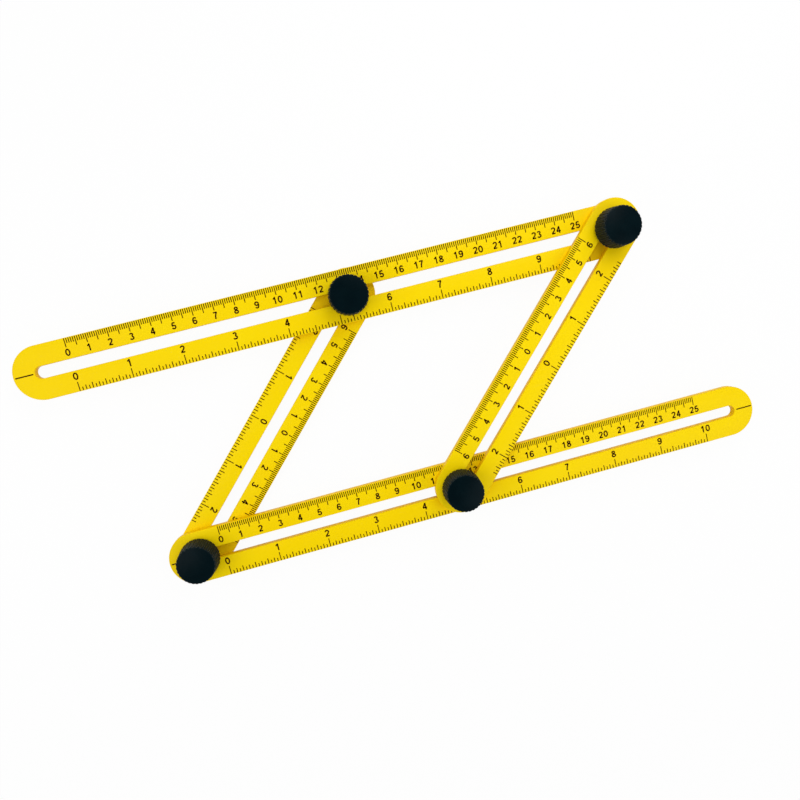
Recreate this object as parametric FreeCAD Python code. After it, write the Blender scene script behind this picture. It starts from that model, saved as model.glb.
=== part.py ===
import FreeCAD, Part
import math
import os

# Multi-angle folding ruler. Four flat slotted arms are held by four bolts with
# hand knobs, and form a parallelogram. Units are millimetres.
#
# Frame: +X runs along the two long arms towards their high numbers, +Y goes
# from the lower long arm to the upper one, +Z is up through the bolts. The
# origin is the centre of the bounding box in X and Y, at the lowest bolt head.

V = FreeCAD.Vector

# Driving dimensions of the arms. A station is a distance along a long arm from
# the zero of its scales, or along a short arm from its middle. The slot leaves
# the same width of plastic at its ends as at its sides.
arm_width = 25.9
arm_thickness = 4.0
arm_edge_chamfer = 0.3
slot_width = 5.8
long_tip_low = -27.3
long_tip_high = 281.5
short_tip = 87.9

# The parallelogram at rest. A shift is how far a short arm's middle lies from
# the midpoint of its two bolts, along the arm and towards its upper bolt.
long_pin_spacing = 133.5
short_pin_spacing = 147.8
fold_angle = 45.8
lower_arm_first_pin = -12.0
upper_arm_last_pin = 266.8
left_arm_shift = -0.4
right_arm_shift = 1.1

# Heights. Three levels of arms lie on the lowest bolt heads.
level_gap = 0.1
washer_gap = 0.05
head_thickness = 2.0

# Clamp hardware.
head_radius = 6.5
head_edge_chamfer = 0.5
neck_radius = 3.1
neck_flats = 5.6
neck_height = 3.0
shank_radius = 2.5
shank_reach = 8.0
shank_tip_chamfer = 0.5
washer_radius = 6.5
washer_hole_radius = 2.58
washer_thickness = 1.0
insert_radius = 4.0
insert_collar_radius = 4.6
insert_collar_height = 1.0
insert_height = 9.0
insert_hole_radius = 2.55

# Knobs. The side tapers from its foot to its rim, and the grooves between the
# ribs run along the taper, with their axes this far outside the ribs.
knob_height = 10.8
knob_foot_radius = 9.9
knob_rim_radius = 9.3
knob_rim_height = 10.4
knob_top_radius = 8.9
knob_foot_chamfer = 0.4
knob_rib_count = 30
knob_groove_radius = 0.55
knob_groove_offset = 0.25
knob_pocket_depth = 9.6

# Levels worked out from the heights above.
level_pitch = arm_thickness + level_gap
bottom_level = head_thickness
middle_level = bottom_level + level_pitch
top_level = middle_level + level_pitch

# Ends of the slots.
slot_margin = (arm_width - slot_width) / 2
long_slot_low = long_tip_low + slot_margin
long_slot_high = long_tip_high - slot_margin
short_slot_end = short_tip - slot_margin

# Corners of the parallelogram, first with the lower arm's zero at the origin.
fold = math.radians(fold_angle)
short_run = V(math.cos(fold), math.sin(fold), 0)
long_run = V(1, 0, 0)
tip_reach = arm_width / 2
half_short_span = short_pin_spacing / 2
short_tip_centre = short_tip - tip_reach
upper_arm_first_pin = upper_arm_last_pin - long_pin_spacing

upper_zero_x = lower_arm_first_pin + short_pin_spacing * short_run.x - upper_arm_first_pin
low_x = upper_zero_x + long_tip_low
high_x = long_tip_high
low_y = (half_short_span + left_arm_shift - short_tip_centre) * short_run.y - tip_reach
high_y = (half_short_span + right_arm_shift + short_tip_centre) * short_run.y + tip_reach
centre = V((low_x + high_x) / 2, (low_y + high_y) / 2, 0)

lower_zero = V(0, 0, 0) - centre
pin_lower_left = lower_zero + long_run * lower_arm_first_pin
pin_lower_right = pin_lower_left + long_run * long_pin_spacing
pin_upper_left = pin_lower_left + short_run * short_pin_spacing
pin_upper_right = pin_lower_right + short_run * short_pin_spacing
upper_zero = pin_upper_left - long_run * upper_arm_first_pin
left_middle = pin_lower_left + short_run * (half_short_span + left_arm_shift)
right_middle = pin_lower_right + short_run * (half_short_span + right_arm_shift)


def obround(low, high, width, bottom, height):
    """Plate along X with round ends, from station low to station high."""
    radius = width / 2
    first = V(low + radius, radius, bottom)
    second = V(high - radius, radius, bottom)
    third = V(high - radius, -radius, bottom)
    fourth = V(low + radius, -radius, bottom)
    edges = [
        Part.LineSegment(first, second).toShape(),
        Part.Arc(second, V(high, 0, bottom), third).toShape(),
        Part.LineSegment(third, fourth).toShape(),
        Part.Arc(fourth, V(low, 0, bottom), first).toShape(),
    ]
    return Part.Face(Part.Wire(edges)).extrude(V(0, 0, height))


def rim_edges(shape, bottom, top):
    """Edges that lie wholly in the bottom or the top plane."""
    found = []
    for edge in shape.Edges:
        box = edge.BoundBox
        flat = box.ZLength < 1e-6
        if flat and min(abs(box.ZMin - bottom), abs(box.ZMin - top)) < 1e-6:
            found.append(edge)
    return found


def slotted_arm(low, high, slot_low, slot_high):
    """One arm along X on the plane Z = 0, with its long slot."""
    plate = obround(low, high, arm_width, 0, arm_thickness)
    plate = plate.makeChamfer(arm_edge_chamfer, rim_edges(plate, 0, arm_thickness))
    slot = obround(slot_low, slot_high, slot_width, -1, arm_thickness + 2)
    return plate.cut(slot)


def placed(shape, point, height, angle=0.0):
    """Copy of a shape turned about +Z, then moved to a point at a height."""
    copy = shape.copy()
    copy.rotate(V(0, 0, 0), V(0, 0, 1), angle)
    copy.translate(V(point.x, point.y, height))
    return copy


def clamp_bolt(washer_top):
    """Round flat head, neck with two flats, and a shank up into the knob.

    The neck starts at Z = 0, and washer_top is the height of the washer's top.
    """
    head = Part.makeCylinder(head_radius, head_thickness, V(0, 0, -head_thickness))
    lower_rim = [e for e in rim_edges(head, -head_thickness, -head_thickness)]
    head = head.makeChamfer(head_edge_chamfer, lower_rim)
    neck = Part.makeCylinder(neck_radius, neck_height)
    flats = Part.makeBox(4 * neck_radius, neck_flats, neck_height)
    flats.translate(V(-2 * neck_radius, -neck_flats / 2, 0))
    neck = neck.common(flats)
    length = washer_top + washer_gap + shank_reach
    shank = Part.makeCylinder(shank_radius, length)
    shank = shank.makeChamfer(shank_tip_chamfer, rim_edges(shank, length, length))
    return head.fuse(neck).fuse(shank).removeSplitter()


def flat_washer():
    disc = Part.makeCylinder(washer_radius, washer_thickness)
    hole = Part.makeCylinder(washer_hole_radius, washer_thickness + 2, V(0, 0, -1))
    return disc.cut(hole)


def threaded_insert():
    """Brass sleeve with a wider collar at the knob's underside."""
    sleeve = Part.makeCylinder(insert_radius, insert_height)
    collar = Part.makeCylinder(insert_collar_radius, insert_collar_height)
    hole = Part.makeCylinder(insert_hole_radius, insert_height + 2, V(0, 0, -1))
    return sleeve.fuse(collar).removeSplitter().cut(hole)


def knob_profile():
    """Half section of the knob, from its axis out and up."""
    return [
        V(0, 0, 0),
        V(knob_foot_radius - knob_foot_chamfer, 0, 0),
        V(knob_foot_radius, 0, knob_foot_chamfer),
        V(knob_rim_radius, 0, knob_rim_height),
        V(knob_top_radius, 0, knob_height),
        V(0, 0, knob_height),
        V(0, 0, 0),
    ]


def ribbed_knob():
    """Black hand knob with rounded grooves along its side and a pocket below."""
    section = Part.Face(Part.makePolygon(knob_profile()))
    knob = section.revolve(V(0, 0, 0), V(0, 0, 1), 360)
    taper = V(knob_rim_radius - knob_foot_radius, 0, knob_rim_height - knob_foot_chamfer)
    start = V(knob_foot_radius + knob_groove_offset, 0, knob_foot_chamfer) - taper * 0.2
    groove = Part.makeCylinder(knob_groove_radius, taper.Length * 1.4, start, taper)
    grooves = []
    for index in range(knob_rib_count):
        turned = groove.copy()
        turned.rotate(V(0, 0, 0), V(0, 0, 1), 360 * index / knob_rib_count)
        grooves.append(turned)
    knob = knob.cut(Part.makeCompound(grooves))
    pocket = Part.makeCylinder(insert_radius, knob_pocket_depth)
    recess = Part.makeCylinder(insert_collar_radius, insert_collar_height)
    return knob.cut(pocket.fuse(recess)).Solids[0]


def write(name, shape):
    if not shape.isValid():
        raise ValueError(name + " isn't a valid solid")
    shape.exportStep(os.path.join("parts", name + ".step"))


def write_arms():
    long_arm = slotted_arm(long_tip_low, long_tip_high, long_slot_low, long_slot_high)
    short_arm = slotted_arm(-short_tip, short_tip, -short_slot_end, short_slot_end)
    write("long_arm_lower", placed(long_arm, lower_zero, middle_level))
    write("long_arm_upper", placed(long_arm, upper_zero, middle_level))
    write("short_arm_left", placed(short_arm, left_middle, bottom_level, fold_angle + 180))
    write("short_arm_right", placed(short_arm, right_middle, top_level, fold_angle))


def write_clamps():
    """A bolt, washer, insert and knob at each corner of the parallelogram.

    Each corner has the level under which its bolt head lies, the level of the
    upper of its two arms, and the direction of the slot that keys the neck.
    """
    washer = flat_washer()
    insert = threaded_insert()
    knob = ribbed_knob()
    corners = [
        ("lower_left", pin_lower_left, bottom_level, middle_level, fold_angle),
        ("upper_left", pin_upper_left, bottom_level, middle_level, fold_angle),
        ("lower_right", pin_lower_right, middle_level, top_level, 0.0),
        ("upper_right", pin_upper_right, middle_level, top_level, 0.0),
    ]
    for corner, pin, head_level, upper_level, slot_angle in corners:
        washer_bottom = upper_level + arm_thickness + washer_gap
        washer_top = washer_bottom + washer_thickness
        knob_bottom = washer_top + washer_gap
        bolt = clamp_bolt(washer_top - head_level)
        write("bolt_" + corner, placed(bolt, pin, head_level, slot_angle))
        write("washer_" + corner, placed(washer, pin, washer_bottom))
        write("insert_" + corner, placed(insert, pin, knob_bottom))
        write("knob_" + corner, placed(knob, pin, knob_bottom))


os.makedirs("parts", exist_ok=True)
write_arms()
write_clamps()
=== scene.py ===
# %% [markdown]
# Multi-angle folding ruler, a lesson in Blender. Four slotted yellow arms carry
# printed scales. Four ribbed black knobs clamp them into a parallelogram. The
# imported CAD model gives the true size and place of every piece, and each cell
# below adds one finish or one finer piece to it.

# %% Load the fixed frame
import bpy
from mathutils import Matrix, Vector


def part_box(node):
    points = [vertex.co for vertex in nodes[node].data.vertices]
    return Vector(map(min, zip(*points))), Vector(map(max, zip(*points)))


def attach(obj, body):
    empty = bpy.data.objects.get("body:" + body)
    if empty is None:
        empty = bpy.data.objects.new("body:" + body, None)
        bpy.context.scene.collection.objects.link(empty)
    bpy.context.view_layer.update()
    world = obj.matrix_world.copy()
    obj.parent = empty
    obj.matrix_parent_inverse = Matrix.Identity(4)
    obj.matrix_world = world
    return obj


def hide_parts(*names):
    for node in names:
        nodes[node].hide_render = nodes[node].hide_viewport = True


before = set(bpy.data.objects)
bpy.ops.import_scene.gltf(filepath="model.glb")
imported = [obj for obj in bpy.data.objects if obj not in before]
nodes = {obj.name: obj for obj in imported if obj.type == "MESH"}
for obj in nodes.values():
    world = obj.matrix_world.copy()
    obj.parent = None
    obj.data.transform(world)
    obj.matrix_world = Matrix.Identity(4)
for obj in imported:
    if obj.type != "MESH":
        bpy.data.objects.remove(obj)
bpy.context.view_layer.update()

import math

import bmesh
import bpy
from mathutils import Matrix, Vector

MM = 0.001


# %% [markdown]
# The CAD nodes stay selected after loading, and every operator acts on all that
# is selected. So the first helpers empty the selection or pick one piece alone.
# The others are steps that most new pieces share.

# %% Helpers for selecting and editing
def deselect_all():
    """Leave object mode ready for a new piece."""
    if bpy.context.object and bpy.context.object.mode != "OBJECT":
        bpy.ops.object.mode_set(mode="OBJECT")
    bpy.ops.object.select_all(action="DESELECT")


def make_active(piece):
    """Select one piece alone."""
    deselect_all()
    piece.select_set(True)
    bpy.context.view_layer.objects.active = piece


def edit_all():
    """Enter edit mode with the whole mesh selected."""
    bpy.ops.object.mode_set(mode="EDIT")
    bpy.ops.mesh.select_all(action="SELECT")


def leave_facing_out():
    """Turn every face outwards, then leave edit mode."""
    bpy.ops.mesh.select_all(action="SELECT")
    bpy.ops.mesh.normals_make_consistent(inside=False)
    bpy.ops.object.mode_set(mode="OBJECT")


def apply_place():
    """Write the active object's place, turn and size into its mesh."""
    bpy.ops.object.transform_apply(location=True, rotation=True, scale=True)


deselect_all()
print("still selected:", len(bpy.context.selected_objects))

# %% [markdown]
# Where things are is read from the CAD boxes. Each knob's box has its bolt in the
# middle, and two bolts of one short arm give the angle at which the tool is folded.

# %% Read the corners
ARM_WIDTH = 25.9 * MM
ARM_THICK = 4.0 * MM
LONG_LOW, LONG_HIGH = -27.3 * MM, 281.5 * MM
SHORT_TIP = 87.9 * MM
SLOT_WIDTH = 5.8 * MM
SLOT_MARGIN = (ARM_WIDTH - SLOT_WIDTH) / 2
CORNERS = ("lower_left", "upper_left", "lower_right", "upper_right")


def box_middle(node):
    low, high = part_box(node)
    return (Vector(low) + Vector(high)) / 2


pins = {corner: box_middle("knob_" + corner) for corner in CORNERS}
short_run = pins["upper_left"] - pins["lower_left"]
fold_angle = math.atan2(short_run.y, short_run.x)
print("fold angle in degrees:", round(math.degrees(fold_angle), 2))

# %% [markdown]
# An arm is made in its own frame, with the zero of its scales at the origin, and a
# matrix takes it from there to its place. A long arm's box starts 27.3 mm before
# that zero, and a short arm's box is centred on it. The two short arms are the same
# part, and the left one is turned half round.

# %% Place the four arms
LONG_ARMS = ("long_arm_lower", "long_arm_upper")
ARM_BODIES = {
    "long_arm_lower": "lower_arm",
    "long_arm_upper": "upper_arm",
    "short_arm_left": "left_arm",
    "short_arm_right": "right_arm",
}
ARM_TURNS = {
    "long_arm_lower": 0.0,
    "long_arm_upper": 0.0,
    "short_arm_left": fold_angle + math.pi,
    "short_arm_right": fold_angle,
}


def arm_place(arm_name):
    """Matrix from an arm's own frame, with its underside on Z = 0, to its place."""
    low, high = (Vector(corner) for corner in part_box(arm_name))
    middle = (low + high) / 2
    zero_x = low.x - LONG_LOW if arm_name in LONG_ARMS else middle.x
    turn = Matrix.Rotation(ARM_TURNS[arm_name], 4, "Z")
    return Matrix.Translation((zero_x, middle.y, low.z)) @ turn


arm_places = {arm_name: arm_place(arm_name) for arm_name in ARM_BODIES}
for arm_name, place in arm_places.items():
    print(arm_name, "zero in mm:", [round(value / MM, 1) for value in place.translation])


# %% [markdown]
# Wear and grain appear in more than one material, so each is a node group. A few
# helpers keep the node code short. Each makes a node, links the inputs that come
# from another node, and sets the others. A Mix node has sockets for several kinds
# of value under one name, so those for colours are picked by number.

# %% Helpers for nodes
MIX_FACTOR, MIX_FIRST, MIX_SECOND, MIX_RESULT = 0, 6, 7, 2


def feed(tree, socket, value):
    """Link a value that is a socket, and set any other."""
    if isinstance(value, bpy.types.NodeSocket):
        tree.links.new(value, socket)
    else:
        socket.default_value = value


def add_node(tree, kind, inputs=None, **settings):
    """Make a node with its settings, and feed its inputs by name or number."""
    node = tree.nodes.new(kind)
    for name, value in settings.items():
        setattr(node, name, value)
    for name, value in (inputs or {}).items():
        feed(tree, node.inputs[name], value)
    return node


def mix_colour(tree, factor, first, second):
    inputs = {MIX_FACTOR: factor, MIX_FIRST: first, MIX_SECOND: second}
    return add_node(tree, "ShaderNodeMix", inputs, data_type="RGBA").outputs[MIX_RESULT]


def maths(tree, operation, first, second=0.0, clamp=False):
    settings = {"operation": operation, "use_clamp": clamp}
    return add_node(tree, "ShaderNodeMath", {0: first, 1: second}, **settings).outputs[0]


def remap(tree, value, span, to=(0.0, 1.0)):
    """Stretch one span of values to another, and stop at its ends."""
    inputs = {"Value": value, "From Min": span[0], "From Max": span[1]}
    inputs.update({"To Min": to[0], "To Max": to[1]})
    return add_node(tree, "ShaderNodeMapRange", inputs).outputs["Result"]


def noise(tree, inputs, **settings):
    return add_node(tree, "ShaderNodeTexNoise", inputs, **settings).outputs["Fac"]


# %% [markdown]
# A pattern reads Object coordinates, so that it stays on its piece when the tool is
# folded. Which way a face looks matters too: dust lies on top, and the walls are
# painted a deeper tone as painted shade. The last two helpers build a node group and
# place it in a material.

# %% Helpers for patterns and groups
def object_place(tree):
    """Coordinates that stay on the piece when it moves."""
    return add_node(tree, "ShaderNodeTexCoord").outputs["Object"]


def face_up(tree):
    """How far a face looks up: 1 on top, 0 on a wall and -1 below."""
    normal = add_node(tree, "ShaderNodeNewGeometry").outputs["Normal"]
    return add_node(tree, "ShaderNodeSeparateXYZ", {0: normal}).outputs["Z"]


def vector_maths(tree, operation, first, second=(0.0, 0.0, 0.0)):
    """Node for a sum on vectors. A length or dot product is its Value output."""
    inputs = {0: first, 1: second}
    return add_node(tree, "ShaderNodeVectorMath", inputs, operation=operation)


def new_group(name, inputs, outputs):
    """Node group with its input and output nodes. A tuple makes a vector input."""
    group = bpy.data.node_groups.new(name, "ShaderNodeTree")
    for label, value in inputs.items():
        kind = "NodeSocketVector" if isinstance(value, tuple) else "NodeSocketFloat"
        socket = group.interface.new_socket(label, in_out="INPUT", socket_type=kind)
        socket.default_value = value
    for label in outputs:
        group.interface.new_socket(label, in_out="OUTPUT", socket_type="NodeSocketFloat")
    return group, group.nodes.new("NodeGroupInput"), group.nodes.new("NodeGroupOutput")


def use_group(tree, group, inputs):
    return add_node(tree, "ShaderNodeGroup", inputs, node_tree=group)


# %% [markdown]
# Edge mask: handling polishes and scuffs the corners first, and on the metal the mask
# marks that wear. On the arms it paints a dark line of shade, and on the knobs a pale
# highlight. The Bevel node gives the normal of an imagined rounded corner. Where it
# differs from the real normal there is an edge, and noise breaks the mask up so that it
# isn't a drawn line.

# %% Edge mask group, for wear and painted light
def edge_wear_group():
    defaults = {"Radius": 0.4 * MM, "Amount": 0.5, "Break-up Scale": 900.0}
    group, start, end = new_group("edge_wear_and_light", defaults, ["Mask"])
    radius = {"Radius": start.outputs["Radius"]}
    rounded = add_node(group, "ShaderNodeBevel", radius, samples=4).outputs["Normal"]
    sharp = add_node(group, "ShaderNodeNewGeometry").outputs["Normal"]
    agreement = vector_maths(group, "DOT_PRODUCT", rounded, sharp).outputs["Value"]
    edge = remap(group, agreement, (0.98, 0.80))
    broken = noise(group, {"Vector": object_place(group), "Detail": 4.0,
                           "Scale": start.outputs["Break-up Scale"]})
    patches = remap(group, broken, (0.38, 0.56))
    patchy_edge = maths(group, "MULTIPLY", edge, patches)
    mask = maths(group, "MULTIPLY", patchy_edge, start.outputs["Amount"], clamp=True)
    group.links.new(mask, end.inputs["Mask"])
    return group


# Wear on the metal, painted shade on the arms' rims, painted highlight on the knobs' ribs.
edge_wear_and_light = edge_wear_group()
print("edge wear nodes:", len(edge_wear_and_light.nodes))


# %% [markdown]
# Moulded grain: an injection mould leaves a very fine even grain, and longer, soft
# waves where the plastic shrank. One group gives both as a height for a Bump node,
# and a slow tone variation for the colour.

# %% Moulded grain group
def moulded_grain_group():
    defaults = {"Grain Scale": 4000.0, "Wave Scale": 60.0, "Wave Share": 0.5}
    group, start, end = new_group("moulded_grain", defaults, ["Height", "Tone"])
    place = object_place(group)
    grain = noise(group, {"Vector": place, "Scale": start.outputs["Grain Scale"],
                          "Detail": 2.0})
    wave = noise(group, {"Vector": place, "Scale": start.outputs["Wave Scale"],
                         "Detail": 3.0, "Roughness": 0.45})
    waves = maths(group, "MULTIPLY", wave, start.outputs["Wave Share"])
    group.links.new(maths(group, "ADD", grain, waves), end.inputs["Height"])
    group.links.new(wave, end.inputs["Tone"])
    return group


moulded_grain = moulded_grain_group()
print("moulded grain nodes:", len(moulded_grain.nodes))


# %% [markdown]
# Dust and hairline scratches: what a workshop tool picks up in use. The scratches
# are a noise squeezed hard along one direction, so that it reads as fine lines,
# and a second noise lets them come and go. Dust lies in specks on what looks up.

# %% Handling marks group
SCRATCH_SQUEEZE = (30.0, 5200.0, 500.0)


def scratches_on(group, place, angle):
    """Mask of fine lines that lie along one direction and come and go."""
    turn = add_node(group, "ShaderNodeCombineXYZ", {"Z": angle}).outputs[0]
    mapping = {"Vector": place, "Rotation": turn, "Scale": SCRATCH_SQUEEZE}
    squeezed = add_node(group, "ShaderNodeMapping", mapping).outputs[0]
    lines = noise(group, {"Vector": squeezed, "Scale": 1.0, "Detail": 1.0})
    areas = noise(group, {"Vector": place, "Scale": 45.0, "Detail": 2.0})
    thin = remap(group, lines, (0.66, 0.74))
    return maths(group, "MULTIPLY", thin, remap(group, areas, (0.5, 0.62)))


def dust_on(group, place):
    """Mask of specks on the faces that look up."""
    specks = noise(group, {"Vector": place, "Scale": 2600.0, "Detail": 2.0})
    settled = remap(group, face_up(group), (0.5, 1.0))
    return maths(group, "MULTIPLY", remap(group, specks, (0.68, 0.76)), settled)


def handling_marks_group():
    defaults = {"Scratch Angle": 0.3, "Scratches": 0.5, "Dust": 0.5}
    masks = ["Scratch Mask", "Dust Mask"]
    group, start, end = new_group("handling_marks", defaults, masks)
    place = object_place(group)
    scratches = scratches_on(group, place, start.outputs["Scratch Angle"])
    scratch = maths(group, "MULTIPLY", scratches, start.outputs["Scratches"])
    dust = maths(group, "MULTIPLY", dust_on(group, place), start.outputs["Dust"])
    group.links.new(scratch, end.inputs["Scratch Mask"])
    group.links.new(dust, end.inputs["Dust Mask"])
    return group


handling_marks = handling_marks_group()
print("handling marks nodes:", len(handling_marks.nodes))


# %% [markdown]
# Materials start from one helper. It makes the Principled BSDF, which stays in the
# material itself, and sets the numbers that are the same all over. Colours are
# written as they should look on a screen, and turned into the values nodes use.

# %% Material starter
def new_material(name, specular=0.5, metallic=0.0):
    material = bpy.data.materials.new(name)
    material.use_nodes = True
    tree = material.node_tree
    shader = tree.nodes["Principled BSDF"]
    shader.inputs["Specular IOR Level"].default_value = specular
    shader.inputs["Metallic"].default_value = metallic
    return material, tree, shader


def linear(shown):
    """Linear value of one display value from 0 to 255."""
    share = shown / 255
    return share / 12.92 if share <= 0.04045 else ((share + 0.055) / 1.055) ** 2.4


def srgb(red, green, blue):
    """Colour for a node, from display values."""
    return (linear(red), linear(green), linear(blue), 1.0)


def finish_surface(tree, shader, colour, rough, height, strength, distance):
    """Feed the shader its colour, its roughness and a bump from a height."""
    tree.links.new(colour, shader.inputs["Base Color"])
    tree.links.new(rough, shader.inputs["Roughness"])
    relief = {"Height": height, "Strength": strength, "Distance": distance}
    bump = add_node(tree, "ShaderNodeBump", relief)
    tree.links.new(bump.outputs["Normal"], shader.inputs["Normal"])


# %% [markdown]
# The arms are strong yellow ABS. The colour drifts a little between a lemon and a
# warmer tone, and the faces are satin from the mould's grain. A thin dark line on the
# rims is painted shade, and the side walls are painted a deeper yellow as painted
# shade. The slots go towards orange partly because the light there has bounced off
# yellow many times, and partly from that painted wall shade.

# %% Yellow arm plastic
WARM_YELLOW, LEMON_YELLOW = srgb(255, 218, 1), srgb(255, 223, 2)
# Painted shade: the deeper yellow that the side walls are painted.
WALL_SHADE_YELLOW = srgb(236, 192, 1)
# Painted shade: the dark line painted on the arms' rims.
RIM_PAINTED_SHADE = srgb(140, 104, 6)
PALE_SCRATCH, PALE_DUST = srgb(255, 228, 70), srgb(214, 200, 140)


def yellow_plastic():
    material, tree, shader = new_material("yellow_abs_plastic", specular=0.06)
    grain = use_group(tree, moulded_grain,
                      {"Grain Scale": 2600.0, "Wave Scale": 38.0, "Wave Share": 1.5})
    # The edge mask here paints a dark line of shade on the rims.
    rim_wear_and_light = use_group(tree, edge_wear_and_light, {"Radius": 0.5 * MM, "Amount": 0.8})
    marks = use_group(tree, handling_marks,
                      {"Scratch Angle": 0.35, "Scratches": 0.35, "Dust": 0.25})
    tone, scratch = grain.outputs["Tone"], marks.outputs["Scratch Mask"]
    # Painted shade: faces that look sideways get the deeper wall yellow.
    painted_wall_shade = remap(tree, maths(tree, "ABSOLUTE", face_up(tree)), (0.35, 0.75), (1.0, 0.0))
    colour = mix_colour(tree, remap(tree, tone, (0.3, 0.7)), WARM_YELLOW, LEMON_YELLOW)
    colour = mix_colour(tree, painted_wall_shade, colour, WALL_SHADE_YELLOW)
    # Painted shade on the rims, from the edge mask.
    colour = mix_colour(tree, rim_wear_and_light.outputs["Mask"], colour, RIM_PAINTED_SHADE)
    colour = mix_colour(tree, scratch, colour, PALE_SCRATCH)
    colour = mix_colour(tree, marks.outputs["Dust Mask"], colour, PALE_DUST)
    rough = remap(tree, tone, (0.3, 0.7), (0.36, 0.44))
    rough = maths(tree, "ADD", rough, maths(tree, "MULTIPLY", scratch, 0.25))
    finish_surface(tree, shader, colour, rough, grain.outputs["Height"],
                   strength=0.1, distance=0.06 * MM)
    return material


yellow = yellow_plastic()
print("made", yellow.name)


# %% [markdown]
# The scales are printed in a brown-black ink. A print is never perfectly solid, so
# a fine noise lets a little warm tone through. The ink is flat, so it has no bump.

# %% Printed ink
SOLID_INK, THIN_INK = srgb(62, 24, 0), srgb(92, 50, 0)


def scale_ink():
    material, tree, shader = new_material("printed_scale_ink", specular=0.05)
    blotch = noise(tree, {"Vector": object_place(tree), "Scale": 2500.0, "Detail": 3.0})
    thin = remap(tree, blotch, (0.55, 0.75), (0.0, 0.5))
    colour = mix_colour(tree, thin, SOLID_INK, THIN_INK)
    tree.links.new(colour, shader.inputs["Base Color"])
    rough = remap(tree, blotch, (0.3, 0.7), (0.52, 0.68))
    tree.links.new(rough, shader.inputs["Roughness"])
    return material


ink = scale_ink()
print("made", ink.name)


# %% [markdown]
# The knobs are black nylon. Their flat tops are smoother than their ribbed sides,
# so the roughness follows how much a face looks up. The ribs' edges get a pale
# painted highlight, and those pale lines make the grip readable on a black side.

# %% Black knob plastic
DEEP_BLACK, SOFT_BLACK = srgb(0, 14, 19), srgb(2, 19, 24)
# Painted highlight: the pale grey painted along the ribs' edges.
RIB_PAINTED_HIGHLIGHT = srgb(92, 97, 95)
GREY_SCRATCH, GREY_DUST = srgb(30, 37, 39), srgb(58, 60, 56)


def black_plastic():
    material, tree, shader = new_material("black_nylon_knob", specular=0.06)
    grain = use_group(tree, moulded_grain,
                      {"Grain Scale": 3200.0, "Wave Scale": 160.0, "Wave Share": 0.4})
    # The edge mask here paints a pale highlight along the ribs.
    rim_wear_and_light = use_group(tree, edge_wear_and_light,
                     {"Radius": 0.4 * MM, "Amount": 0.9, "Break-up Scale": 1400.0})
    marks = use_group(tree, handling_marks,
                      {"Scratch Angle": 1.1, "Scratches": 0.1, "Dust": 0.2})
    tone, scratch = grain.outputs["Tone"], marks.outputs["Scratch Mask"]
    colour = mix_colour(tree, remap(tree, tone, (0.3, 0.7)), DEEP_BLACK, SOFT_BLACK)
    colour = mix_colour(tree, rim_wear_and_light.outputs["Mask"], colour, RIB_PAINTED_HIGHLIGHT)
    colour = mix_colour(tree, scratch, colour, GREY_SCRATCH)
    colour = mix_colour(tree, marks.outputs["Dust Mask"], colour, GREY_DUST)
    rough = remap(tree, face_up(tree), (0.9, 1.0), (0.45, 0.28))
    rough = maths(tree, "ADD", rough, maths(tree, "MULTIPLY", scratch, 0.2))
    finish_surface(tree, shader, colour, rough, grain.outputs["Height"],
                   strength=0.2, distance=0.05 * MM)
    return material


black = black_plastic()
print("made", black.name)


# %% [markdown]
# Bolts, washers and inserts are turned on a lathe, which leaves fine rings round
# their axis. A ring pattern needs the distance from that axis, so the group takes
# the axis as an input. A slow mottle breaks up the tone of the metal.

# %% Turned rings group
def turned_rings_group():
    defaults = {"Axis": (0.0, 0.0, 0.0), "Rings per Metre": 4000.0}
    group, start, end = new_group("turned_rings", defaults, ["Rings", "Mottle"])
    place = object_place(group)
    offset = vector_maths(group, "SUBTRACT", place, start.outputs["Axis"]).outputs[0]
    flat = vector_maths(group, "MULTIPLY", offset, (1.0, 1.0, 0.0)).outputs[0]
    reach = vector_maths(group, "LENGTH", flat).outputs["Value"]
    phase = maths(group, "MULTIPLY", reach, start.outputs["Rings per Metre"])
    rings = noise(group, {"W": phase, "Scale": 1.0, "Detail": 3.0}, noise_dimensions="1D")
    mottle = noise(group, {"Vector": place, "Scale": 700.0, "Detail": 4.0})
    group.links.new(rings, end.inputs["Rings"])
    group.links.new(mottle, end.inputs["Mottle"])
    return group


turned_rings = turned_rings_group()
print("turned rings nodes:", len(turned_rings.nodes))

# %% [markdown]
# Bolts and washers are zinc-plated steel, a cool grey. The inserts in the knobs are
# brass, warmer and a little smoother. Both are pale where their edges are rubbed.
# Each corner gets its own two materials, because its axis is its own.

# %% Steel and brass at each corner
STEEL = (srgb(190, 191, 192), srgb(158, 160, 163), 0.34)
BRASS = (srgb(214, 178, 104), srgb(182, 142, 72), 0.3)
BARE_EDGE = srgb(226, 226, 224)
ROUGHNESS_DRIFT = 0.08


def turned_metal(name, axis, metal):
    """Metal turned about an axis. The metal is a light tone, a dark one and a roughness."""
    light, dark, roughness = metal
    material, tree, shader = new_material(name, metallic=1.0)
    rings = use_group(tree, turned_rings, {"Axis": (axis.x, axis.y, 0.0)})
    rim_wear_and_light = use_group(tree, edge_wear_and_light,
                     {"Radius": 0.3 * MM, "Amount": 0.6, "Break-up Scale": 1500.0})
    mottle = remap(tree, rings.outputs["Mottle"], (0.35, 0.65))
    colour = mix_colour(tree, mottle, dark, light)
    colour = mix_colour(tree, rim_wear_and_light.outputs["Mask"], colour, BARE_EDGE)
    drift = (roughness - ROUGHNESS_DRIFT, roughness + ROUGHNESS_DRIFT)
    rough = remap(tree, rings.outputs["Rings"], (0.3, 0.7), drift)
    finish_surface(tree, shader, colour, rough, rings.outputs["Rings"],
                   strength=0.3, distance=0.03 * MM)
    return material


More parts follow.
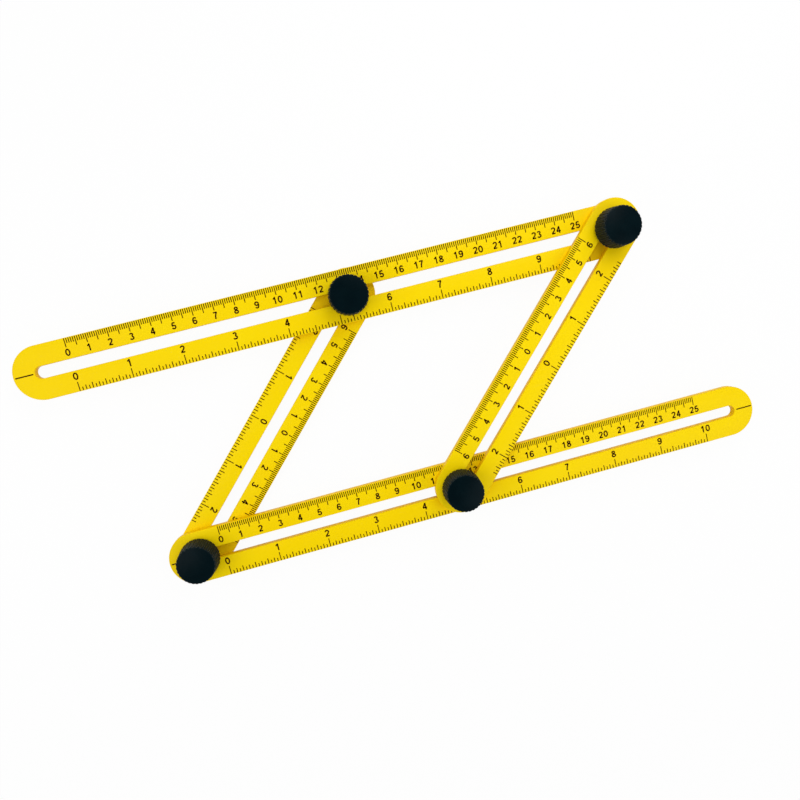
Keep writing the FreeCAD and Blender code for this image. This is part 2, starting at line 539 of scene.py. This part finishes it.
for corner in CORNERS:
    steel = turned_metal("zinc_steel_" + corner, pins[corner], STEEL)
    brass = turned_metal("turned_brass_" + corner, pins[corner], BRASS)
    nodes["bolt_" + corner].data.materials[0] = steel
    nodes["washer_" + corner].data.materials[0] = steel
    nodes["insert_" + corner].data.materials[0] = brass
print("metal pieces finished:", 3 * len(CORNERS))


# %% [markdown]
# An arm is a flat bar with round ends and one long slot, and both have the same
# kind of outline. A circle whose right half is moved along the bar gives it at
# once, with half circles at both ends.

# %% Outline with round ends
ROUND_STEPS = 96


def add_obround_loop(low, high, width):
    """Closed loop with round ends along X. The right half of a circle is moved."""
    radius = width / 2
    half_step = math.pi / ROUND_STEPS
    bpy.ops.mesh.select_all(action="DESELECT")
    bpy.ops.mesh.primitive_circle_add(
        vertices=ROUND_STEPS, radius=radius, location=(low + radius, 0, 0),
        rotation=(0, 0, half_step))
    mesh = bmesh.from_edit_mesh(bpy.context.object.data)
    for vert in mesh.verts:
        vert.select = vert.select and vert.co.x > low + radius
    mesh.select_flush_mode()
    bmesh.update_edit_mesh(bpy.context.object.data)
    bpy.ops.transform.translate(value=(high - low - width, 0, 0))


print("points round an outline:", ROUND_STEPS)

# %% [markdown]
# No moulded edge is sharp. A Bevel modifier limited by angle finds the rims by
# itself, on the arms here and on the knobs later. Smooth shading below a set angle
# then lets the round ends look round while the faces stay flat.

# %% Rounded edges
SMOOTH_BELOW = 35


def round_edges(piece, width, segments, sharper_than):
    """Bevel the edges that turn by more than an angle, and shade the rest smooth."""
    bevel = piece.modifiers.new("rounded edges", "BEVEL")
    bevel.limit_method = "ANGLE"
    bevel.angle_limit = math.radians(sharper_than)
    bevel.width = width
    bevel.segments = segments
    bpy.ops.object.modifier_apply(modifier=bevel.name)
    bpy.ops.object.shade_smooth_by_angle(angle=math.radians(SMOOTH_BELOW))


print("smooth shading below, in degrees:", SMOOTH_BELOW)

# %% [markdown]
# Bridging the outline of the bar and that of its slot gives the face, extruding
# gives the thickness, and the bevel gives the rims. A hair's breadth of air under
# the arm keeps its underside off the bolt heads. A Boolean could cut the slot too,
# but bridged loops leave a cleaner mesh.

# %% One slotted arm
UNDER_GAP = 0.02 * MM
RIM_RADIUS = 0.3 * MM


def empty_mesh(name):
    """Active mesh object at the origin, in edit mode and with nothing in it."""
    deselect_all()
    bpy.ops.mesh.primitive_circle_add(vertices=3, radius=ARM_WIDTH)
    bpy.context.object.name = name
    edit_all()
    bpy.ops.mesh.delete(type="VERT")
    return bpy.context.object


def slotted_arm(name, low, high):
    """Arm along X with its underside on Z = 0, in its own frame."""
    arm = empty_mesh(name)
    add_obround_loop(low, high, ARM_WIDTH)
    add_obround_loop(low + SLOT_MARGIN, high - SLOT_MARGIN, SLOT_WIDTH)
    bpy.ops.mesh.select_all(action="SELECT")
    bpy.ops.mesh.bridge_edge_loops()
    bpy.ops.mesh.select_all(action="SELECT")
    bpy.ops.transform.translate(value=(0, 0, UNDER_GAP))
    rise = (0, 0, ARM_THICK - UNDER_GAP)
    bpy.ops.mesh.extrude_region_move(TRANSFORM_OT_translate={"value": rise})
    leave_facing_out()
    round_edges(arm, RIM_RADIUS, segments=3, sharper_than=40)
    return arm


def put_at(piece, matrix):
    """Move a piece to its place and leave its object at the origin."""
    piece.matrix_world = matrix @ piece.matrix_world
    make_active(piece)
    apply_place()


for arm_name, body in ARM_BODIES.items():
    reach = (LONG_LOW, LONG_HIGH) if arm_name in LONG_ARMS else (-SHORT_TIP, SHORT_TIP)
    arm = slotted_arm("moulded_" + arm_name, *reach)
    put_at(arm, arm_places[arm_name])
    arm.data.materials.append(yellow)
    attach(arm, body)
    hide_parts(arm_name)
    print(arm_name, "vertices:", len(arm.data.vertices))


# %% [markdown]
# The scales are the heart of a ruler, and their lines are thin bars of ink. Lines
# that repeat evenly are one bar, copied along the edge with an Array modifier.

# %% Rows of equal lines
INK_THICK = 0.03 * MM
INK_SUNK = 0.012 * MM
INK_FOOT = ARM_THICK - INK_SUNK
LINE_WIDTH = 0.43 * MM
EDGE_MARGIN = 0.25 * MM
EDGE = ARM_WIDTH / 2 - EDGE_MARGIN
UPPER, LOWER = 1, -1


def ink_bar(x, y, length, width):
    """Thin bar of ink on top of the arm, centred at x and y."""
    deselect_all()
    middle = (x, y, INK_FOOT + INK_THICK / 2)
    bpy.ops.mesh.primitive_cube_add(size=1, location=middle)
    bar = bpy.context.object
    bar.scale = (length, width, INK_THICK)
    apply_place()
    return bar


def line_row(first, step, count, length, side):
    """Row of equal lines that run in from the upper or the lower edge."""
    depth = length - EDGE_MARGIN
    row = ink_bar(first, side * (EDGE - depth / 2), LINE_WIDTH, depth)
    if count > 1:
        array = row.modifiers.new("scale steps", "ARRAY")
        array.use_relative_offset = False
        array.use_constant_offset = True
        array.constant_offset_displace = (step, 0, 0)
        array.count = count
        bpy.ops.object.modifier_apply(modifier=array.name)
    return row


print("line width in mm:", round(LINE_WIDTH / MM, 2))

# %% [markdown]
# The metric edge has a line each millimetre, longer at every fifth. Four rows of
# short lines and one row of long ones make the whole scale.

# %% Metric lines
CENTIMETRE = 10 * MM
MILLIMETRE_LINE = 2.75 * MM
FIFTH_LINE = 4.55 * MM
FIFTH = 5


def metric_lines(first, last):
    """Millimetre lines between two whole numbers of centimetres."""
    fifths = round((last - first) / (FIFTH * MM))
    rows = []
    for step in range(1, FIFTH):
        start = first + step * MM
        rows.append(line_row(start, FIFTH * MM, fifths, MILLIMETRE_LINE, UPPER))
    rows.append(line_row(first, FIFTH * MM, fifths + 1, FIFTH_LINE, UPPER))
    return rows


print("millimetre lines are", round(MILLIMETRE_LINE / MM, 2), "mm long")

# %% [markdown]
# The inch edge has sixteenths, eighths, quarters with halves, and whole inches. A
# line's length follows from its number of sixteenths, so each is made singly.

# %% Inch lines
INCH = 25.4 * MM
SIXTEENTH = INCH / 16
INCH_LINE, QUARTER_LINE = 4.65 * MM, 3.0 * MM
EIGHTH_LINE, SIXTEENTH_LINE = 2.5 * MM, 1.95 * MM


def inch_line_length(index):
    """Length of the line at a whole number of sixteenths from the zero."""
    if index % 16 == 0:
        return INCH_LINE
    if index % 4 == 0:
        return QUARTER_LINE
    return EIGHTH_LINE if index % 2 == 0 else SIXTEENTH_LINE


def inch_lines(first, last, past_ends):
    """Lines from one whole inch to another, and some sixteenths past both ends."""
    rows = []
    for index in range(16 * first - past_ends, 16 * last + past_ends + 1):
        rows.append(line_row(index * SIXTEENTH, 0, 1, inch_line_length(index), LOWER))
    return rows


print("an inch line is", round(INCH_LINE / MM, 2), "mm long")


# %% [markdown]
# The numbers are plain upright figures of one stroke width. Each is written down as
# the path of a pen, along the middle of the stroke, and is one unit high. So a round
# stroke stays half a stroke inside the figure's top and foot.

# %% Strokes of the figures
STROKE = 0.19
HALF = STROKE / 2
TOP, FOOT = 1 - HALF, HALF


def arc(cx, cy, rx, ry, start, end, steps):
    """Points on an ellipse from one angle to another, in degrees."""
    points = []
    for index in range(steps + 1):
        angle = math.radians(start + (end - start) * index / steps)
        points.append((cx + rx * math.cos(angle), cy + ry * math.sin(angle)))
    return points


FIGURES = {
    "0": [arc(0.31, 0.5, 0.245, 0.5 - HALF, 90, 450, 40)],
    "1": [[(0.37, 0.0), (0.37, 0.99)],
          [(0.10, 0.72), (0.22, 0.78), (0.32, 0.87), (0.365, 0.96)]],
    "2": [arc(0.31, 0.70, 0.23, 0.30 - HALF, 172, -28, 20)
          + [(0.40, 0.42), (0.20, 0.24), (0.085, FOOT)],
          [(0.03, FOOT), (0.57, FOOT)]],
    "3": [arc(0.30, 0.745, 0.19, 0.255 - HALF, 165, -88, 22),
          arc(0.30, 0.285, 0.24, 0.285 - HALF, 88, -165, 24)],
    "4": [[(0.43, 0.96), (0.055, 0.30)], [(0.02, 0.29), (0.62, 0.29)],
          [(0.43, 0.0), (0.43, 0.985)]],
    "5": [[(0.54, TOP), (0.14, TOP)], [(0.165, TOP), (0.095, 0.47)],
          [(0.095, 0.47)] + arc(0.30, 0.325, 0.24, 0.325 - HALF, 140, -165, 26)],
    "6": [arc(0.31, 0.315, 0.235, 0.315 - HALF, 180, 540, 32),
          arc(0.335, 0.50, 0.26, 0.5 - HALF, 38, 205, 22)],
    "7": [[(0.045, TOP), (0.57, TOP)],
          [(0.55, TOP), (0.39, 0.66), (0.28, 0.34), (0.235, 0.0)]],
    "8": [arc(0.31, 0.745, 0.19, 0.255 - HALF, 90, 450, 30),
          arc(0.31, 0.285, 0.24, 0.285 - HALF, 90, 450, 32)],
    "9": [arc(0.31, 0.685, 0.235, 0.315 - HALF, 0, 360, 32),
          arc(0.285, 0.50, 0.26, 0.5 - HALF, 218, 385, 22)],
}
print("strokes:", sum(len(strokes) for strokes in FIGURES.values()))

# %% [markdown]
# A flat curve with another curve as its bevel works like a pen: a short nib is swept
# along the stroke. Converting the curve gives a flat mesh of the figure, which every
# number on the ruler then copies.

# %% Figures drawn with a nib
SAME_POINT = 1e-6


def add_to_scene(name, data):
    """New object that shows some mesh, curve, lamp or camera data."""
    piece = bpy.data.objects.new(name, data)
    bpy.context.scene.collection.objects.link(piece)
    return piece


def add_stroke(curve, stroke):
    """Straight pieces through the stroke's points. It closes where its ends meet."""
    closed = math.dist(stroke[0], stroke[-1]) < SAME_POINT
    points = stroke[:-1] if closed else stroke
    spline = curve.splines.new("POLY")
    spline.points.add(len(points) - 1)
    for point, (x, y) in zip(spline.points, points):
        point.co = (x, y, 0, 1)
    spline.use_cyclic_u = closed


def flat_curve(name, strokes):
    curve = bpy.data.curves.new(name, "CURVE")
    curve.dimensions = "2D"
    for stroke in strokes:
        add_stroke(curve, stroke)
    return curve


def draw_figure(figure, nib):
    """Mesh of one figure, one unit high with its foot on Y = 0."""
    curve = flat_curve("figure_" + figure, FIGURES[figure])
    curve.fill_mode = "NONE"
    curve.bevel_mode = "OBJECT"
    curve.bevel_object = nib
    drawn = add_to_scene("figure_" + figure, curve)
    make_active(drawn)
    bpy.ops.object.convert(target="MESH")
    return bpy.context.object


nib = add_to_scene("pen_nib", flat_curve("pen_nib", [[(-HALF, 0), (HALF, 0)]]))
figure_meshes = {}
for figure in FIGURES:
    drawn = draw_figure(figure, nib)
    figure_meshes[figure] = drawn.data
    bpy.data.objects.remove(drawn)
bpy.data.objects.remove(nib)
print("figures drawn:", " ".join(figure_meshes))


# %% [markdown]
# A number is its figures set side by side and centred on its line. Left of a short
# arm's zero the numbers count upwards too, without a sign. The ink gets its tiny
# thickness from a Solidify modifier, so the print is a closed thin layer.

# %% Numbers beside the lines
FIGURE_ADVANCE = 0.775
FIGURE_MIDDLE = 0.31
FIGURE_MID_HEIGHT = 0.5


def place_number(number, x, y, height):
    """Figures of one number, centred at x and y on the top of the arm."""
    text = str(number)
    to_arm = Matrix.Translation((x, y, INK_FOOT)) @ Matrix.Scale(height, 4)
    placed = []
    for index, figure in enumerate(text):
        piece = add_to_scene("number_" + text, figure_meshes[figure].copy())
        along = (index - (len(text) - 1) / 2) * FIGURE_ADVANCE - FIGURE_MIDDLE
        to_middle = Matrix.Translation((along, -FIGURE_MID_HEIGHT, 0))
        piece.data.transform(to_arm @ to_middle)
        placed.append(piece)
    return placed


def number_row(first, last, unit, y, height):
    """Numbers at each unit from first to last, counted from the zero."""
    placed = []
    for number in range(first, last + 1):
        placed += place_number(abs(number), number * unit, y, height)
    return placed


def thicken_ink(piece):
    make_active(piece)
    layer = piece.modifiers.new("ink layer", "SOLIDIFY")
    layer.thickness = INK_THICK
    layer.offset = 1.0
    bpy.ops.object.modifier_apply(modifier=layer.name)


print("a figure takes", FIGURE_ADVANCE, "of its height")

# %% [markdown]
# Lines and numbers of one scale become one piece, because they are one print. It
# is made in the arm's own frame, is put on its arm, and rides with it.

# %% Join a print and put it on its arm
def join_all(pieces, name):
    deselect_all()
    for piece in pieces:
        piece.select_set(True)
    bpy.context.view_layer.objects.active = pieces[0]
    bpy.ops.object.join()
    bpy.context.object.name = name
    return bpy.context.object


def ink_on_arm(sheet, arm_name):
    """Put a print on its arm, ink it and let it ride."""
    put_at(sheet, arm_places[arm_name])
    sheet.data.materials.clear()
    sheet.data.materials.append(ink)
    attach(sheet, ARM_BODIES[arm_name])
    print(sheet.name, "faces:", len(sheet.data.polygons))


def print_scale(lines, numbers, name, arm_name):
    figures = join_all(numbers, name + "_figures")
    thicken_ink(figures)
    sheet = join_all(lines + [figures], name)
    make_active(sheet)
    edit_all()
    leave_facing_out()
    ink_on_arm(sheet, arm_name)


print("arms to print:", len(ARM_BODIES))

# %% [markdown]
# A long arm counts 25 centimetres and 10 inches from its left end. A short arm
# counts both ways from its middle, and its inch lines run on for six sixteenths
# past both ends.

# %% Print both scales on each arm
LONG_CENTIMETRES, SHORT_CENTIMETRES = (0, 25), (-6, 6)
LONG_INCHES, SHORT_INCHES = (0, 10), (-2, 2)
SHORT_PAST_ENDS = 6
METRIC_HEIGHT, INCH_HEIGHT = 3.4 * MM, 3.55 * MM
METRIC_NUMBER_LINE = ARM_WIDTH / 2 - 6.95 * MM
INCH_NUMBER_LINE = -(ARM_WIDTH / 2 - 7.4 * MM)


def print_metric(arm_name, first, last):
    lines = metric_lines(first * CENTIMETRE, last * CENTIMETRE)
    numbers = number_row(first, last, CENTIMETRE, METRIC_NUMBER_LINE, METRIC_HEIGHT)
    print_scale(lines, numbers, "metric_scale_" + arm_name, arm_name)


def print_inches(arm_name, first, last, past_ends):
    lines = inch_lines(first, last, past_ends)
    numbers = number_row(first, last, INCH, INCH_NUMBER_LINE, INCH_HEIGHT)
    print_scale(lines, numbers, "inch_scale_" + arm_name, arm_name)


for arm_name in ARM_BODIES:
    if arm_name in LONG_ARMS:
        print_metric(arm_name, *LONG_CENTIMETRES)
        print_inches(arm_name, *LONG_INCHES, past_ends=0)
    else:
        print_metric(arm_name, *SHORT_CENTIMETRES)
        print_inches(arm_name, *SHORT_INCHES, past_ends=SHORT_PAST_ENDS)


# %% [markdown]
# A fine line on the middle of each long arm runs from the end of the slot to the
# tip. It is the sighting line for setting the arm on a corner.

# %% Sighting lines
SIGHTING_WIDTH = 0.6 * MM
SIGHTING_SPANS = (
    (LONG_LOW + 0.9 * MM, LONG_LOW + 9.3 * MM),
    (LONG_HIGH - 9.0 * MM, LONG_HIGH - 0.7 * MM),
)

for arm_name in LONG_ARMS:
    bars = []
    for low, high in SIGHTING_SPANS:
        bars.append(ink_bar((low + high) / 2, 0, high - low, SIGHTING_WIDTH))
    ink_on_arm(join_all(bars, "sighting_lines_" + arm_name), arm_name)


# %% [markdown]
# A knob is turned by hand, so it has a ribbed grip with a slight taper, a small edge
# and a flat top. Its body is a circle extruded ring by ring, and resized at each.

# %% The knob's body
KNOB_SIDES = 240
KNOB_RINGS = (  # radius and height in millimetres, from the foot up
    (9.5, 0.0),
    (9.9, 0.4),
    (9.3, 10.4),
    (8.9, 10.8),
)


def knob_body():
    deselect_all()
    radius, height = KNOB_RINGS[0]
    bpy.ops.mesh.primitive_circle_add(
        vertices=KNOB_SIDES, radius=radius * MM, fill_type="NGON")
    knob = bpy.context.object
    edit_all()
    for next_radius, next_height in KNOB_RINGS[1:]:
        rise = (0, 0, (next_height - height) * MM)
        bpy.ops.mesh.extrude_region_move(TRANSFORM_OT_translate={"value": rise})
        growth = next_radius / radius
        bpy.ops.transform.resize(value=(growth, growth, 1), center_override=(0, 0, 0))
        radius, height = next_radius, next_height
    leave_facing_out()
    return knob


print("knob rings:", len(KNOB_RINGS))

# %% [markdown]
# Between the ribs are shallow round grooves. One rod, with its middle line just
# outside the grip and leaning with its taper, is repeated round the axis by Spin.
# All rods together are the cutter.

# %% Grooves between the ribs
RIBS = 30
GROOVE_RADIUS = 0.55 * MM
GROOVE_OFFSET = 0.25 * MM
ROD_SIDES = 24
ROD_LENGTH = 14 * MM
SAME_PLACE = 0.001 * MM


def groove_cutter():
    """Thin rods round the axis, one for each rib, that lean with the taper."""
    deselect_all()
    (foot_radius, foot_height), (rim_radius, rim_height) = KNOB_RINGS[1:3]
    lean = math.atan2(rim_radius - foot_radius, rim_height - foot_height)
    reach = (foot_radius + rim_radius) / 2 * MM + GROOVE_OFFSET
    middle = (foot_height + rim_height) / 2 * MM
    bpy.ops.mesh.primitive_cylinder_add(
        vertices=ROD_SIDES, radius=GROOVE_RADIUS, depth=ROD_LENGTH,
        location=(reach, 0, middle), rotation=(0, lean, 0))
    cutter = bpy.context.object
    apply_place()
    edit_all()
    bpy.ops.mesh.spin(
        steps=RIBS, dupli=True, angle=2 * math.pi, center=(0, 0, 0), axis=(0, 0, 1))
    bpy.ops.mesh.select_all(action="SELECT")
    bpy.ops.mesh.remove_doubles(threshold=SAME_PLACE)
    leave_facing_out()
    return cutter


print("a groove is", round(2 * GROOVE_RADIUS / MM, 2), "mm wide")

# %% [markdown]
# A Boolean modifier cuts all grooves at once, and a small bevel rounds every edge
# that a thumb would feel.

# %% The ribbed knob
FELT_EDGE = 0.12 * MM


def ribbed_knob():
    knob, cutter = knob_body(), groove_cutter()
    make_active(knob)
    cut = knob.modifiers.new("grooves", "BOOLEAN")
    cut.operation = "DIFFERENCE"
    cut.solver = "EXACT"
    cut.object = cutter
    bpy.ops.object.modifier_apply(modifier=cut.name)
    bpy.data.objects.remove(cutter)
    round_edges(knob, FELT_EDGE, segments=2, sharper_than=30)
    return knob


knob_model = ribbed_knob()
print("knob vertices:", len(knob_model.data.vertices))


# %% [markdown]
# All four corners have the same knob. Each copy has its own mesh, moved to its
# bolt, and takes the place of the plain CAD knob.

# %% Four knobs in place
for corner in CORNERS:
    knob = add_to_scene("ribbed_knob_" + corner, knob_model.data.copy())
    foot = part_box("knob_" + corner)[0][2]
    put_at(knob, Matrix.Translation((pins[corner].x, pins[corner].y, foot)))
    knob.data.materials.append(black)
    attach(knob, corner + "_knob")
    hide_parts("knob_" + corner)
bpy.data.objects.remove(knob_model)
print("knobs placed:", len(CORNERS))


# %% [markdown]
# The floor is a wide white sheet. To a camera ray it is nearly pure white and keeps
# a soft share of the shadow. To every other ray it is a plain white surface that
# sends light back up. It lies a hair below the bolt heads, so that no two faces
# share one place.

# %% White floor
FLOOR_SIZE = 6
FLOOR_HEIGHT = -0.05 * MM
PAPER_WHITE = (0.95, 0.95, 0.95, 1.0)
PURE_WHITE = (1.0, 1.0, 1.0, 1.0)
GLOW_SHARE = 0.95


def floor_surface(tree):
    """Mix of white paper and an even glow, which only seen and mirrored rays meet."""
    paper = add_node(tree, "ShaderNodeBsdfDiffuse", {"Color": PAPER_WHITE}).outputs[0]
    glow = add_node(tree, "ShaderNodeEmission", {"Color": PURE_WHITE, "Strength": 1.0})
    ray = add_node(tree, "ShaderNodeLightPath").outputs
    seen = maths(tree, "ADD", ray["Is Camera Ray"], ray["Is Glossy Ray"], clamp=True)
    seen = maths(tree, "ADD", seen, ray["Is Transmission Ray"], clamp=True)
    share = maths(tree, "MULTIPLY", seen, GLOW_SHARE)
    inputs = {0: share, 1: paper, 2: glow.outputs[0]}
    return add_node(tree, "ShaderNodeMixShader", inputs).outputs[0]


def white_floor():
    deselect_all()
    bpy.ops.mesh.primitive_plane_add(size=FLOOR_SIZE, location=(0, 0, FLOOR_HEIGHT))
    floor = bpy.context.object
    floor.name = "studio_floor"
    material = bpy.data.materials.new("white_paper_floor")
    material.use_nodes = True
    tree = material.node_tree
    tree.nodes.clear()
    add_node(tree, "ShaderNodeOutputMaterial", {"Surface": floor_surface(tree)})
    floor.data.materials.append(material)
    print("floor in metres:", FLOOR_SIZE)


white_floor()


# %% [markdown]
# The light is a plain soft studio: three white softboxes, each 0.45 m from the
# tool, shine down on it from three sides.

# %% Softboxes
SOFTBOX_TILT = math.radians(44)
SOFTBOX_DISTANCE = 0.45
SOFTBOX_SIZE = 0.32


def softbox(name, turn, watts):
    """Square lamp aimed at the origin, from a side given in degrees from +X."""
    lamp = bpy.data.lights.new(name, "AREA")
    lamp.size = SOFTBOX_SIZE
    lamp.energy = watts
    turn = math.radians(turn)
    flat = math.sin(SOFTBOX_TILT)
    towards = Vector((flat * math.cos(turn), flat * math.sin(turn), math.cos(SOFTBOX_TILT)))
    holder = add_to_scene(name, lamp)
    holder.location = SOFTBOX_DISTANCE * towards
    holder.rotation_euler = (-towards).to_track_quat("-Z", "Y").to_euler()
    print(name, "watts:", watts)


softbox("upper_softbox", 58, 0.74)
softbox("left_softbox", 178, 0.52)
softbox("right_softbox", 322, 0.41)

# %% [markdown]
# The world is white near the horizon and dim overhead. Looking down, the camera
# sees every flat face mirror the dim part, so the yellow stays deep and the knobs'
# tops stay black, as under a light tent with an opening for the camera.

# %% World
HORIZON, OVERHEAD = (0.25, 1.0), (0.8, 0.2)  # height of a direction, brightness

world = bpy.data.worlds.new("soft_studio")
bpy.context.scene.world = world
world.use_nodes = True
sky = world.node_tree
direction = add_node(sky, "ShaderNodeTexCoord").outputs["Generated"]
height = add_node(sky, "ShaderNodeSeparateXYZ", {0: direction}).outputs["Z"]
brightness = remap(sky, height, (HORIZON[0], OVERHEAD[0]), (HORIZON[1], OVERHEAD[1]))
background = sky.nodes["Background"]
background.inputs["Color"].default_value = PURE_WHITE
sky.links.new(brightness, background.inputs["Strength"])
bpy.context.scene.view_settings.view_transform = "Standard"
print("world brightness overhead:", OVERHEAD[1])


# %% [markdown]
# The camera looks down from about 330 mm, as close as the photograph was taken. Its
# place and turn were worked out from the printed scales.

# %% Camera
LENS = 29.7
SENSOR_WIDTH = 36.0
CAMERA_PLACE = (-0.025705, 0.043356, 0.332541)
CAMERA_TURN = (-6.9342, -5.875, -14.1752)

camera_data = bpy.data.cameras.new("camera")
camera_data.lens = LENS
camera_data.sensor_width = SENSOR_WIDTH
camera_data.clip_start = 0.01
camera = add_to_scene("camera", camera_data)
camera.location = CAMERA_PLACE
camera.rotation_euler = [math.radians(angle) for angle in CAMERA_TURN]
bpy.context.scene.camera = camera
print("camera height in mm:", round(CAMERA_PLACE[2] / MM))

# %% [markdown]

# %% Finish
print("scene built")
